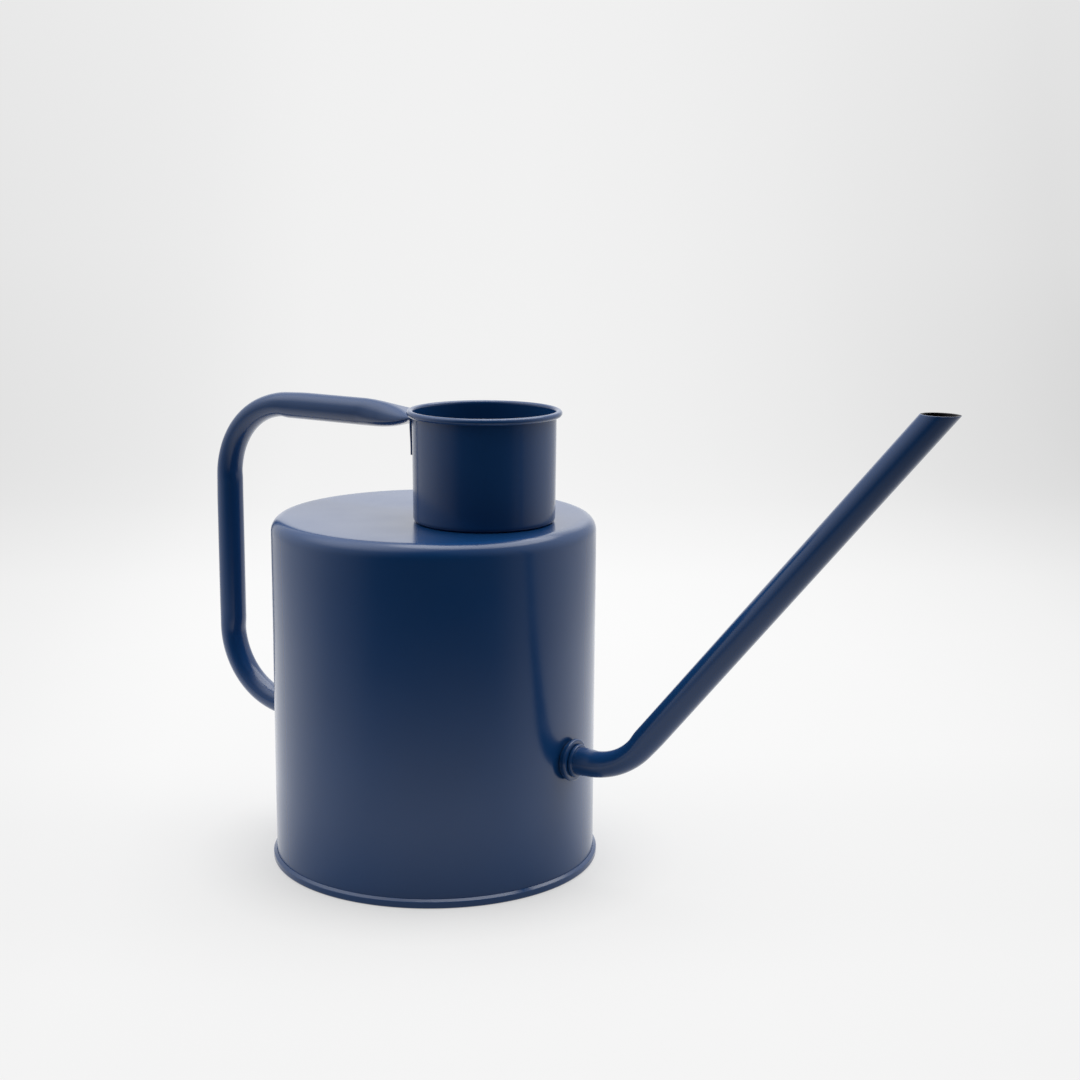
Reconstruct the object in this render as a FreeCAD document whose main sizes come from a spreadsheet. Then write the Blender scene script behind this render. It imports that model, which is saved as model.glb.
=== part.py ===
import FreeCAD, Part
import math
import os
import re

import Sketcher

# A watering can of thin sheet steel: a drawn round tank with a seamed base, an offset
# filler neck with a rolled and wired rim, a bent tube handle whose upper end is pressed
# flat and tucked under the rim, and a long spout with a pouring end cut level.
#
# Millimetres. The origin is on the floor on the tank's axis, +X points along the spout
# and +Z points up. The XZ plane is the plane of symmetry.

SIZES = (
    # tank and base seam
    ("tank_radius", 70.0, "outside of the tank wall"),
    ("tank_height", 152.0, "floor to the flat top"),
    ("shoulder_radius", 6.0, "outside of the rounded shoulder"),
    ("sheet", 0.4, "thickness of every drawn sheet"),
    ("seam_height", 4.0, "floor to the top of the base seam"),
    ("seam_slack", 0.35, "slack between the tank's hook and the seam's outer wall"),
    ("fold_inside", 0.15, "inside corners of the folded hooks"),
    ("body_hook_top", 3.0, "floor to the end of the tank's hook"),
    ("cover_hook_end", 1.1, "floor to the end of the base plate's hook"),
    ("base_recess", 5.0, "floor to the underside of the base panel"),
    ("base_corner", 1.0, "corner where the base panel meets its wall"),
    # filler neck
    ("neck_offset", 26.3, "neck axis in front of the tank axis"),
    ("neck_foot_radius", 30.1, "outside of the neck at its foot"),
    ("neck_mouth_radius", 30.4, "outside of the neck at its mouth"),
    ("neck_height", 47.5, "tank top to the highest line of the rim"),
    ("neck_corner", 2.0, "outside corner at the neck's foot"),
    ("neck_hole_radius", 24.0, "hole in the tank top and the neck's foot"),
    ("rim_wire_radius", 1.0, "wire inside the rolled rim"),
    ("neck_weld_radius", 0.6, "edge weld round the hole, inside the neck"),
    # both tubes
    ("tube_radius", 6.0, "outside of the handle and spout tubes"),
    # handle
    ("handle_wall", 1.0, "wall of the handle tube"),
    ("handle_back", 116.8, "tank axis to the handle's upright"),
    ("handle_top", 193.8, "floor to the axis of the top run"),
    ("handle_foot", 54.1, "floor to the axis of the lower end"),
    ("upper_bend", 35.0, "radius of the upper bend's axis"),
    ("lower_bend", 33.4, "radius of the lower bend's axis"),
    ("press_start", 38.0, "tank axis to where the tube starts to flatten"),
    ("press_end", 7.5, "tank axis to where the tube is flat"),
    ("press_rise", 0.3, "top run's axis up to the middle of the flat end"),
    ("press_sag", 0.5, "most that the middle of the pressed end hangs below a straight line"),
    ("flat_width", 18.6, "width of the flattened end"),
    ("tab_bend_inside", 0.6, "inside of the tab's bend under the rim"),
    ("tab_end", 178.5, "floor to the tab's lower edge"),
    ("tab_clearance", 0.05, "gap between the tab and the neck wall"),
    ("weld_spot_radius", 2.0, "spot welds that hold the tab"),
    ("weld_spot_pitch", 7.0, "between the two spot welds"),
    ("weld_spot_top", 190.0, "floor to the upper spot weld"),
    ("foot_weld_leg", 2.4, "leg of the fillet weld at the handle's lower end"),
    # spout
    ("spout_wall", 1.0, "wall of the spout tube"),
    ("spout_root", 54.2, "floor to the spout's axis at the tank"),
    ("spout_bend_start", 81.1, "tank axis to the start of the bend"),
    ("spout_bend", 30.0, "radius of the bend's axis"),
    ("spout_angle", 50.1, "rise of the straight run, in degrees"),
    ("spout_tip", 212.4, "floor to the level cut of the pouring end"),
    ("spout_over_length", 260.0, "straight run before the level cut"),
    ("bead_radius", 7.0, "outside of the tube's bead in front of the washer"),
    ("bead_width", 1.9, "along the tube, of the bead"),
    ("lip_radius", 7.6, "outside of the tube's lip inside the tank"),
    ("lip_width", 0.8, "along the tube, of the lip"),
    ("washer_radius", 9.0, "outside of the washer's rim, and of the washer inside the tank"),
    ("washer_width", 2.0, "along the tube, of the washer's rim"),
    ("washer_foot", 8.0, "outside of the washer's foot on the tank"),
    ("washer_face", 73.3, "tank axis to the washer's front"),
    ("seal_gap", 0.4, "thickness of the sealing layer under the washer"),
    ("seal_radius", 7.8, "outside of the sealing layer"),
    ("backing_thickness", 0.8, "thickness of the washer inside the tank"),
    ("overlap", 2.0, "how far cutting tools run past the surface they cut"),
)

FULL_TURN = 360.0
# along the pressed end, from round to flat: share of its length, of the height lost and width
# gained, and of the sag
PRESS_STEPS = ((0.28, 0.07, 0.46), (0.52, 0.23, 0.94), (0.7, 0.44, 1.0), (0.85, 0.69, 0.72), (1.0, 1.0, 0.0))

doc = FreeCAD.newDocument("watering_can")


# ---- the sheet of sizes and formulas on it ----


def make_sheet():
    """Put every driving size in a spreadsheet, one row each, with its alias."""
    table = doc.addObject("Spreadsheet::Sheet", "Sizes")
    for row, (alias, number, note) in enumerate(SIZES, start=1):
        table.set(f"A{row}", alias)
        table.set(f"B{row}", str(number))
        table.set(f"C{row}", note)
        table.setAlias(f"B{row}", alias)
    doc.recompute()
    return table


sheet = make_sheet()


def formula(text):
    """Turn each alias in a formula into a reference to its cell."""
    for alias, _, _ in SIZES:
        text = re.sub(rf"\b{alias}\b", f"Sizes.{alias}", text)
    return text


def worth(text):
    """Give the present value of a formula."""
    return float(sheet.evalExpression(formula(text)))


def bind(feature, **formulas):
    """Bind properties to formulas; a double underscore in a name stands for a dot."""
    for name, text in formulas.items():
        feature.setExpression(name.replace("__", "."), formula(text))


# ---- sketches whose corners are formulas ----


def new_body(label, **place):
    """Start a sub-part as a body, with its placement bound to formulas."""
    body = doc.addObject("PartDesign::Body", label)
    body.Label = label
    bind(body, **{f"Placement__Base__{axis}": text for axis, text in place.items()})
    return body


def new_sketch(body, role, name, offset=None):
    """Attach a sketch to one of the body's own origin planes."""
    sketch = body.newObject("Sketcher::SketchObject", name)
    plane = next(item for item in body.Origin.OriginFeatures if item.Role == role)
    sketch.AttachmentSupport = [(plane, "")]
    sketch.MapMode = "FlatFace"
    if offset:
        bind(sketch, AttachmentOffset__Base__z=offset)
    return sketch


def fix(sketch, kind, *where, text):
    """Add a dimension whose value is a formula."""
    index = sketch.addConstraint(Sketcher.Constraint(kind, *where, worth(text)))
    sketch.setExpression(f"Constraints[{index}]", formula(text))


def fix_point(sketch, shape, end, across, up):
    """Place one point of a sketch at formulas measured from the sketch's origin."""
    fix(sketch, "DistanceX", -1, 1, shape, end, text=across)
    fix(sketch, "DistanceY", -1, 1, shape, end, text=up)


def rounding(before, corner, after, radius):
    """Work out the arc that rounds a corner: entry, exit, the arc and whether it turns left."""
    back = (before - corner).normalize()
    ahead = (after - corner).normalize()
    half = back.getAngle(ahead) / 2
    entry = corner + back * (radius / math.tan(half))
    leave = corner + ahead * (radius / math.tan(half))
    centre = corner + (back + ahead).normalize() * (radius / math.sin(half))
    left = back.cross(ahead).z < 0
    first, last = (entry, leave) if left else (leave, entry)
    start = math.atan2(first.y - centre.y, first.x - centre.x)
    stop = math.atan2(last.y - centre.y, last.x - centre.x)
    circle = Part.Circle(centre, FreeCAD.Vector(0, 0, 1), radius)
    return entry, leave, Part.ArcOfCircle(circle, start, stop), left


def draw(sketch, corners, closed=True):
    """Draw an outline or an open path through corners given as formulas.

    A corner is (across, up) when sharp and (across, up, radius) when rounded.
    """
    spots = [FreeCAD.Vector(worth(corner[0]), worth(corner[1]), 0) for corner in corners]
    count = len(corners)
    arcs = {}
    for index, corner in enumerate(corners):
        if len(corner) == 3:
            around = (spots[index - 1], spots[index], spots[(index + 1) % count])
            arcs[index] = rounding(*around, worth(corner[2]))
    lines = []
    for index in range(count if closed else count - 1):
        following = (index + 1) % count
        start = arcs[index][1] if index in arcs else spots[index]
        stop = arcs[following][0] if following in arcs else spots[following]
        lines.append(sketch.addGeometry(Part.LineSegment(start, stop)))
    for index, corner in enumerate(corners):
        across, up = corner[:2]
        if index in arcs:
            arc = sketch.addGeometry(arcs[index][2])
            first, last = (1, 2) if arcs[index][3] else (2, 1)
            sketch.addConstraint(Sketcher.Constraint("Tangent", lines[index - 1], 2, arc, first))
            sketch.addConstraint(Sketcher.Constraint("Tangent", arc, last, lines[index], 1))
            fix(sketch, "Radius", arc, text=corner[2])
            point = sketch.addGeometry(Part.Point(spots[index]), True)
            sketch.addConstraint(Sketcher.Constraint("PointOnObject", point, 1, lines[index - 1]))
            sketch.addConstraint(Sketcher.Constraint("PointOnObject", point, 1, lines[index]))
            fix_point(sketch, point, 1, across, up)
            continue
        if closed or 0 < index < count - 1:
            sketch.addConstraint(Sketcher.Constraint("Coincident", lines[index - 1], 2, lines[index], 1))
        if index < len(lines):
            fix_point(sketch, lines[index], 1, across, up)
        else:
            fix_point(sketch, lines[-1], 2, across, up)


def add_circle(sketch, radius, across="0", up="0"):
    """Draw a circle whose radius and centre are formulas."""
    centre = FreeCAD.Vector(worth(across), worth(up), 0)
    circle = sketch.addGeometry(Part.Circle(centre, FreeCAD.Vector(0, 0, 1), worth(radius)))
    fix_point(sketch, circle, 3, across, up)
    fix(sketch, "Radius", circle, text=radius)


def add_oval(sketch, width, depth, up):
    """Draw an ellipse that lies flat: its width across and its depth upwards are formulas."""
    centre = FreeCAD.Vector(0, worth(up), 0)
    side = centre + FreeCAD.Vector(worth(width) / 2, 0, 0)
    crown = centre + FreeCAD.Vector(0, worth(depth) / 2, 0)
    oval = sketch.addGeometry(Part.Ellipse(side, crown, centre))
    sketch.exposeInternalGeometry(oval)
    sketch.addConstraint(Sketcher.Constraint("Horizontal", oval + 1))
    fix_point(sketch, oval, 3, "0", up)
    fix(sketch, "Distance", oval + 1, text=width)
    fix(sketch, "Distance", oval + 2, text=depth)


def revolve(body, sketch, name, axis="V_Axis"):
    """Turn a closed outline a full turn about an axis of its sketch."""
    turn = body.newObject("PartDesign::Revolution", name)
    turn.Profile = sketch
    turn.ReferenceAxis = (sketch, [axis])
    turn.Angle = FULL_TURN
    doc.recompute()
    return turn


def pocket(body, sketch, name, depth, reverse=False):
    """Cut a pocket of a stated depth and make sure that it took material away."""
    before = body.Shape.Volume
    cut = body.newObject("PartDesign::Pocket", name)
    cut.Profile = sketch
    cut.Type = "Length"
    bind(cut, Length=depth)
    cut.Reversed = reverse
    doc.recompute()
    if not body.Shape.Volume < before:
        raise RuntimeError(f"{name} cut nothing")
    return cut


# ---- the tank ----

SEAM_OUTSIDE = "tank_radius + 3 * sheet + seam_slack"


def make_tank_shell():
    """Drawn cup, open side down, with its edge turned out and up as the seam's inner hook."""
    body = new_body("tank_shell")
    outline = new_sketch(body, "XZ_Plane", "tank_outline")
    draw(outline, (
        ("0", "tank_height"),
        ("tank_radius", "tank_height", "shoulder_radius"),
        ("tank_radius", "2 * sheet", "fold_inside"),
        ("tank_radius + sheet", "2 * sheet", "fold_inside"),
        ("tank_radius + sheet", "body_hook_top"),
        ("tank_radius + 2 * sheet", "body_hook_top"),
        ("tank_radius + 2 * sheet", "sheet", "fold_inside + sheet"),
        ("tank_radius - sheet", "sheet", "fold_inside + sheet"),
        ("tank_radius - sheet", "tank_height - sheet", "shoulder_radius - sheet"),
        ("0", "tank_height - sheet"),
    ))
    revolve(body, outline, "tank_cup")
    neck_hole = new_sketch(body, "XY_Plane", "neck_hole", offset="tank_height + overlap")
    add_circle(neck_hole, "neck_hole_radius", "neck_offset")
    pocket(body, neck_hole, "neck_hole_cut", "2 * overlap")
    spout_hole = new_sketch(body, "YZ_Plane", "spout_hole", offset="tank_radius + overlap")
    add_circle(spout_hole, "tube_radius", "0", "spout_root")
    pocket(body, spout_hole, "spout_hole_cut", "3 * overlap")
    return body


def make_base_plate():
    """Recessed base whose edge wraps under and over the tank's hook as the seam's outer hook."""
    body = new_body("base_plate")
    outline = new_sketch(body, "XZ_Plane", "base_outline")
    draw(outline, (
        ("0", "base_recess"),
        ("tank_radius - 2 * sheet", "base_recess", "base_corner - sheet"),
        ("tank_radius - 2 * sheet", "0", "fold_inside + sheet"),
        (SEAM_OUTSIDE, "0", "fold_inside + 2 * sheet + seam_slack"),
        (SEAM_OUTSIDE, "seam_height", "fold_inside + sheet + seam_slack"),
        ("tank_radius", "seam_height", "fold_inside + sheet"),
        ("tank_radius", "cover_hook_end"),
        ("tank_radius + sheet", "cover_hook_end"),
        ("tank_radius + sheet", "seam_height - sheet", "fold_inside"),
        (f"{SEAM_OUTSIDE} - sheet", "seam_height - sheet", "fold_inside + seam_slack"),
        (f"{SEAM_OUTSIDE} - sheet", "sheet", "fold_inside + sheet + seam_slack"),
        ("tank_radius - sheet", "sheet", "fold_inside"),
        ("tank_radius - sheet", "base_recess + sheet", "base_corner"),
        ("0", "base_recess + sheet"),
    ))
    revolve(body, outline, "base_pan")
    return body


def make_base_seam_compound():
    """Sealing compound in the closed end of the base plate's hook."""
    body = new_body("base_seam_compound")
    outline = new_sketch(body, "XZ_Plane", "compound_outline")
    draw(outline, (
        ("tank_radius + sheet", "body_hook_top"),
        ("tank_radius + 2 * sheet", "body_hook_top"),
        ("tank_radius + 2 * sheet", "seam_height - sheet", "fold_inside"),
        ("tank_radius + sheet", "seam_height - sheet", "fold_inside"),
    ))
    revolve(body, outline, "compound_ring")
    return body


# ---- the filler neck ----


def make_filler_neck():
    """Drawn ring with an inward foot on the tank top and its mouth rolled out round a wire."""
    body = new_body("filler_neck", x="neck_offset", z="tank_height")
    wall = new_sketch(body, "XZ_Plane", "neck_outline")
    wire_height = "neck_height - sheet - rim_wire_radius"
    draw(wall, (
        ("neck_hole_radius", "0"),
        ("neck_foot_radius", "0", "neck_corner"),
        ("neck_mouth_radius", wire_height),
        ("neck_mouth_radius - sheet", wire_height),
        ("neck_foot_radius - sheet", "sheet", "neck_corner - sheet"),
        ("neck_hole_radius", "sheet"),
    ))
    revolve(body, wall, "neck_wall")
    curl = new_sketch(body, "XZ_Plane", "curl_outline")
    centre_across = "neck_mouth_radius + rim_wire_radius"
    centre = FreeCAD.Vector(worth(centre_across), worth(wire_height), 0)
    # the roll starts where it meets the wall and ends below the wire, short of the wall
    start = math.radians(-125)
    arcs = []
    for text in ("rim_wire_radius", "rim_wire_radius + sheet"):
        circle = Part.Circle(centre, FreeCAD.Vector(0, 0, 1), worth(text))
        arc = curl.addGeometry(Part.ArcOfCircle(circle, start, math.pi))
        fix_point(curl, arc, 3, centre_across, wire_height)
        fix(curl, "Radius", arc, text=text)
        arcs.append(arc)
    inner, outer = arcs
    ends = [curl.Geometry[arc] for arc in arcs]
    root = curl.addGeometry(Part.LineSegment(ends[0].EndPoint, ends[1].EndPoint))
    edge = curl.addGeometry(Part.LineSegment(ends[0].StartPoint, ends[1].StartPoint))
    for line, end in ((root, 2), (edge, 1)):
        curl.addConstraint(Sketcher.Constraint("Coincident", line, 1, inner, end))
        curl.addConstraint(Sketcher.Constraint("Coincident", line, 2, outer, end))
    curl.addConstraint(Sketcher.Constraint("Horizontal", root))
    curl.addConstraint(Sketcher.Constraint("Perpendicular", edge, outer))
    revolve(body, curl, "rolled_rim")
    return body


def make_rim_wire():
    """Round wire, closed to a ring, inside the rolled rim."""
    wire = doc.addObject("Part::Torus", "rim_wire")
    wire.Label = "rim_wire"
    bind(
        wire,
        Radius1="neck_mouth_radius + rim_wire_radius",
        Radius2="rim_wire_radius",
        Placement__Base__x="neck_offset",
        Placement__Base__z="tank_height + neck_height - sheet - rim_wire_radius",
    )
    return wire


def make_neck_weld():
    """Edge weld along the hole, where the neck's foot and the tank top lie on each other."""
    body = new_body("neck_weld", x="neck_offset", z="tank_height")
    outline = new_sketch(body, "XZ_Plane", "neck_weld_outline")
    draw(outline, (
        ("neck_hole_radius", "-sheet"),
        ("neck_hole_radius", "sheet"),
        ("neck_hole_radius - neck_weld_radius", "sheet", "neck_weld_radius / 2"),
        ("neck_hole_radius - neck_weld_radius", "-sheet", "neck_weld_radius / 2"),
    ))
    revolve(body, outline, "neck_weld_ring")
    return body


# ---- the handle ----

FLAT_DEPTH = "2 * handle_wall"
FLAT_MIDDLE = "handle_top + press_rise"
TAB_BACK = "neck_offset - neck_mouth_radius - tab_clearance"


def make_handle_tube():
    """Bent tube, coped to the tank at its foot, pressed flat and bent down under the rim."""
    body = new_body("handle_tube")
    path = new_sketch(body, "XZ_Plane", "handle_path")
    draw(path, (
        ("overlap - tank_radius", "handle_foot"),
        ("-handle_back", "handle_foot", "lower_bend"),
        ("-handle_back", "handle_top", "upper_bend"),
        ("-press_start", "handle_top"),
    ), closed=False)
    ring = new_sketch(body, "YZ_Plane", "handle_section", offset="overlap - tank_radius")
    add_circle(ring, "tube_radius", "0", "handle_foot")
    add_circle(ring, "tube_radius - handle_wall", "0", "handle_foot")
    run = body.newObject("PartDesign::AdditivePipe", "handle_run")
    run.Profile = ring
    run.Spine = path
    doc.recompute()
    cope = new_sketch(body, "XY_Plane", "cope_circle")
    add_circle(cope, "tank_radius")
    pocket(body, cope, "cope_cut", "handle_foot + 2 * tube_radius", reverse=True)
    press_handle_end(body)
    bend_tab(body)
    return body


def press_handle_end(body):
    """Flatten the tube's end: an outer loft from round to flat, and its hollow cut back out."""
    skins = (
        ("outer", "PartDesign::AdditiveLoft", "0", PRESS_STEPS),
        ("inner", "PartDesign::SubtractiveLoft", "handle_wall", PRESS_STEPS[:-1]),
    )
    for skin, kind, inset, steps in skins:
        start = new_sketch(body, "YZ_Plane", f"press_{skin}_start", offset="-press_start")
        add_circle(start, f"tube_radius - {inset}", "0", "handle_top")
        sections = []
        for number, (along, pressed, sag) in enumerate(steps, start=1):
            place = f"-press_start + {along} * (press_start - press_end)"
            section = new_sketch(body, "YZ_Plane", f"press_{skin}_{number}", offset=place)
            width = f"2 * tube_radius + {pressed} * (flat_width - 2 * tube_radius) - 2 * {inset}"
            depth = f"2 * tube_radius - {pressed} * (2 * tube_radius - {FLAT_DEPTH}) - 2 * {inset}"
            middle = f"handle_top + {pressed} * press_rise - {sag} * press_sag"
            add_oval(section, width, depth, middle)
            sections.append(section)
        before = body.Shape.Volume
        loft = body.newObject(kind, f"press_{skin}")
        loft.Profile = start
        loft.Sections = sections
        doc.recompute()
        if abs(body.Shape.Volume - before) < 1.0:
            raise RuntimeError(f"press_{skin} changed nothing")


def bend_tab(body):
    """Carry the flat end on under the rim and down along the neck as a tab."""
    side = new_sketch(body, "XZ_Plane", "tab_side")
    low = f"{FLAT_MIDDLE} - handle_wall"
    high = f"{FLAT_MIDDLE} + handle_wall"
    draw(side, (
        ("-press_end - overlap", low),
        (f"{TAB_BACK} - {FLAT_DEPTH}", low, "tab_bend_inside"),
        (f"{TAB_BACK} - {FLAT_DEPTH}", "tab_end"),
        (TAB_BACK, "tab_end"),
        (TAB_BACK, high, f"tab_bend_inside + {FLAT_DEPTH}"),
        ("-press_end - overlap", high),
    ))
    tab = body.newObject("PartDesign::Pad", "tab")
    tab.Profile = side
    tab.Midplane = True
    bind(tab, Length="flat_width")
    doc.recompute()


def make_tab_welds():
    """Two spot welds: the fused slugs that fill the thin gap between the tab and the neck."""
    gap = doc.addObject("Part::Box", "tab_gap")
    bind(
        gap,
        Length="2 * tab_clearance + overlap",
        Width="flat_width",
        Height="handle_top - tab_end",
        Placement__Base__x=TAB_BACK,
        Placement__Base__y="-flat_width / 2",
        Placement__Base__z="tab_end",
    )
    neck = doc.addObject("Part::Cone", "neck_outside")
    bind(
        neck,
        Radius1="neck_foot_radius",
        Radius2="neck_mouth_radius",
        Height="neck_height - sheet - rim_wire_radius",
        Placement__Base__x="neck_offset",
        Placement__Base__z="tank_height",
    )
    slugs = []
    for number in (1, 2):
        slug = doc.addObject("Part::Cylinder", f"weld_slug_{number}")
        slug.Placement.Rotation = FreeCAD.Rotation(FreeCAD.Vector(0, 1, 0), 90)
        bind(
            slug,
            Radius="weld_spot_radius",
            Height="2 * overlap",
            Placement__Base__x=f"{TAB_BACK} - overlap",
            Placement__Base__z=f"weld_spot_top - {number - 1} * weld_spot_pitch",
        )
        slugs.append(slug)
    both = doc.addObject("Part::MultiFuse", "weld_slugs")
    both.Shapes = slugs
    trimmed = doc.addObject("Part::MultiCommon", "weld_slugs_in_gap")
    trimmed.Shapes = [both, gap]
    welds = doc.addObject("Part::Cut", "handle_tab_welds")
    welds.Label = "handle_tab_welds"
    welds.Base = trimmed
    welds.Tool = neck
    doc.recompute()
    return welds


def along_x(name, kind, start, height, up, **sizes):
    """Add a round primitive that lies along +X from a stated distance in front of the axis."""
    shape = doc.addObject(kind, name)
    shape.Placement.Rotation = FreeCAD.Rotation(FreeCAD.Vector(0, 1, 0), 90)
    bind(shape, Height=height, Placement__Base__x=start, Placement__Base__z=up, **sizes)
    return shape


def upright_cylinder(name, radius, centre_height):
    """Add an upright cylinder on the tank's axis that spans the tubes' height."""
    shape = doc.addObject("Part::Cylinder", name)
    base = f"{centre_height} - 2 * washer_radius"
    bind(shape, Radius=radius, Height="4 * washer_radius", Placement__Base__z=base)
    return shape


def cut(name, base, tool):
    """Cut one object from another and label the result as a sub-part."""
    result = doc.addObject("Part::Cut", name)
    result.Label = name
    result.Base = base
    result.Tool = tool
    doc.recompute()
    return result


def make_handle_foot_weld():
    """Fillet weld round the handle's coped lower end, against the tank wall."""
    fillet = along_x(
        "foot_weld_cone", "Part::Cone",
        "-tank_radius - foot_weld_leg", "foot_weld_leg + overlap", "handle_foot",
        Radius1="tube_radius + 0.1 * foot_weld_leg",
        Radius2="tube_radius + foot_weld_leg",
    )
    tube = along_x(
        "foot_weld_bore", "Part::Cylinder",
        "-tank_radius - 2 * overlap - foot_weld_leg", "6 * overlap + foot_weld_leg", "handle_foot",
        Radius="tube_radius",
    )
    wall = upright_cylinder("foot_weld_wall", "tank_radius", "handle_foot")
    ring = cut("foot_weld_ring", fillet, tube)
    return cut("handle_foot_weld", ring, wall)


# ---- the spout ----


def make_spout_tube():
    """Long tube with a bead and an inner lip that grip the tank wall, and a level pouring cut."""
    body = new_body("spout_tube", z="spout_root")
    lip_face = "sqrt((tank_radius - sheet - backing_thickness)^2 - lip_radius^2)"
    corner = "spout_bend_start + spout_bend * tan(spout_angle / 2)"
    path = new_sketch(body, "XZ_Plane", "spout_path")
    draw(path, (
        (f"{lip_face} - lip_width", "0"),
        (corner, "0", "spout_bend"),
        (f"{corner} + spout_over_length * cos(spout_angle)", "spout_over_length * sin(spout_angle)"),
    ), closed=False)
    ring = new_sketch(body, "YZ_Plane", "spout_section", offset=f"{lip_face} - lip_width")
    add_circle(ring, "tube_radius")
    add_circle(ring, "tube_radius - spout_wall")
    run = body.newObject("PartDesign::AdditivePipe", "spout_run")
    run.Profile = ring
    run.Spine = path
    doc.recompute()
    middle = "tube_radius - spout_wall / 2"
    bead = new_sketch(body, "XZ_Plane", "bead_outline")
    draw(bead, (
        ("washer_face", middle),
        ("washer_face + bead_width", middle),
        ("washer_face + bead_width", "bead_radius", "0.45 * bead_width"),
        ("washer_face", "bead_radius", "0.3 * bead_width"),
    ))
    revolve(body, bead, "outer_bead", axis="H_Axis")
    lip = new_sketch(body, "XZ_Plane", "lip_outline")
    draw(lip, (
        (f"{lip_face} - lip_width", middle),
        (lip_face, middle),
        (lip_face, "lip_radius"),
        (f"{lip_face} - lip_width", "lip_radius", "0.7 * lip_width"),
    ))
    revolve(body, lip, "inner_lip", axis="H_Axis")
    tip = new_sketch(body, "XY_Plane", "tip_plane", offset="spout_tip - spout_root")
    reach = "tank_radius + spout_over_length"
    draw(tip, (
        ("tank_radius", "-washer_radius"),
        (reach, "-washer_radius"),
        (reach, "washer_radius"),
        ("tank_radius", "washer_radius"),
    ))
    pocket(body, tip, "tip_cut", "spout_over_length", reverse=True)
    return body


def make_spout_washer():
    """Round-rimmed washer that backs the tube's bead, its foot hollowed to sit on the round tank."""
    body = new_body("turned_washer", z="spout_root")
    outline = new_sketch(body, "XZ_Plane", "washer_outline")
    back = "sqrt(tank_radius^2 - washer_radius^2)"
    draw(outline, (
        (back, "tube_radius"),
        (back, "washer_foot"),
        ("washer_face - washer_width", "washer_foot"),
        ("washer_face - washer_width", "washer_radius", "0.4 * washer_width"),
        ("washer_face", "washer_radius", "0.5 * washer_width"),
        ("washer_face", "tube_radius"),
    ))
    revolve(body, outline, "washer_ring", axis="H_Axis")
    wall = upright_cylinder("washer_seat", "tank_radius + seal_gap", "spout_root")
    return cut("spout_washer", body, wall)


def make_curved_layer(name, radius, outer, inner):
    """Make a ring round the spout that is a layer between two upright cylinders."""
    disc = along_x(f"{name}_disc", "Part::Cylinder", "tank_radius - 3 * overlap", "6 * overlap",
                   "spout_root", Radius=radius)
    bore = along_x(f"{name}_bore", "Part::Cylinder", "tank_radius - 4 * overlap", "8 * overlap",
                   "spout_root", Radius="tube_radius")
    outside = upright_cylinder(f"{name}_outside", outer, "spout_root")
    inside = upright_cylinder(f"{name}_inside", inner, "spout_root")
    layer = doc.addObject("Part::MultiCommon", f"{name}_layer")
    layer.Shapes = [disc, outside]
    doc.recompute()
    return cut(name, cut(f"{name}_ring", layer, bore), inside)


# ---- build, check and write ----


def check_document():
    """Stop if any object of the document failed to compute."""
    doc.recompute()
    for item in doc.Objects:
        if {"Invalid", "Error"} & set(item.State):
            raise RuntimeError(f"{item.Name} is in state {item.State}")


def write_part(item):
    """Check one sub-part's shape and write it to its STEP file."""
    shape = item.Shape
    if shape.isNull() or not shape.isValid():
        raise RuntimeError(f"{item.Label} has no valid shape")
    shape.exportStep(os.path.join("parts", f"{item.Label}.step"))
    box = shape.BoundBox
    print(f"{item.Label}: {len(shape.Solids)} solid(s), {shape.Volume:.1f} mm3,",
          f"x {box.XMin:.1f}..{box.XMax:.1f}, z {box.ZMin:.1f}..{box.ZMax:.1f}")


def main():
    """Build every sub-part and write it."""
    parts = [
        make_tank_shell(),
        make_base_plate(),
        make_base_seam_compound(),
        make_filler_neck(),
        make_rim_wire(),
        make_neck_weld(),
        make_handle_tube(),
        make_tab_welds(),
        make_handle_foot_weld(),
        make_spout_tube(),
        make_spout_washer(),
        make_curved_layer("spout_seal", "seal_radius", "tank_radius + seal_gap", "tank_radius"),
        make_curved_layer("spout_backing_washer", "washer_radius",
                          "tank_radius - sheet", "tank_radius - sheet - backing_thickness"),
    ]
    check_document()
    os.makedirs("parts", exist_ok=True)
    for item in parts:
        write_part(item)


main()
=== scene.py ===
import math
from math import cos, hypot, pi, radians, sin, sqrt, tan

import bmesh
import bpy
from mathutils import Matrix, Vector, noise


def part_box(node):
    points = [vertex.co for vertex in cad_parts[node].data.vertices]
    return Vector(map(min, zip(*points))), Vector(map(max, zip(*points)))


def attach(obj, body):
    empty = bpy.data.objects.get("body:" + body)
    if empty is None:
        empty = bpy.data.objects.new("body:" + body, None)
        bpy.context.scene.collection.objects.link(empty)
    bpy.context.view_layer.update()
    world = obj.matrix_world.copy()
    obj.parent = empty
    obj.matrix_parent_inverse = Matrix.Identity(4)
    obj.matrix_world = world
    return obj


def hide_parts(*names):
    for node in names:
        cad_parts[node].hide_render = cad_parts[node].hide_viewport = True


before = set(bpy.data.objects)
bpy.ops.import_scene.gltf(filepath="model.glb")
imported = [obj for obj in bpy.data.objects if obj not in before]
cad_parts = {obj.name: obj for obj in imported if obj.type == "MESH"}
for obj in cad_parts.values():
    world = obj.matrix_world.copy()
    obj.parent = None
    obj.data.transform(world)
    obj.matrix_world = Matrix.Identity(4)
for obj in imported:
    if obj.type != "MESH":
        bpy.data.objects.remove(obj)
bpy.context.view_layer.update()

# A watering can of thin sheet steel under a satin navy powder coat: a round tank with a
# seamed base, an offset filler neck with a wired rim, a bent tube handle whose pressed end
# tucks under that rim, and a long spout with a level pouring end.
#
# Metres. +X points along the spout and +Z points up; the XZ plane is the plane of symmetry.

# ---- sizes, from the frame where it has them ----

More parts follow.
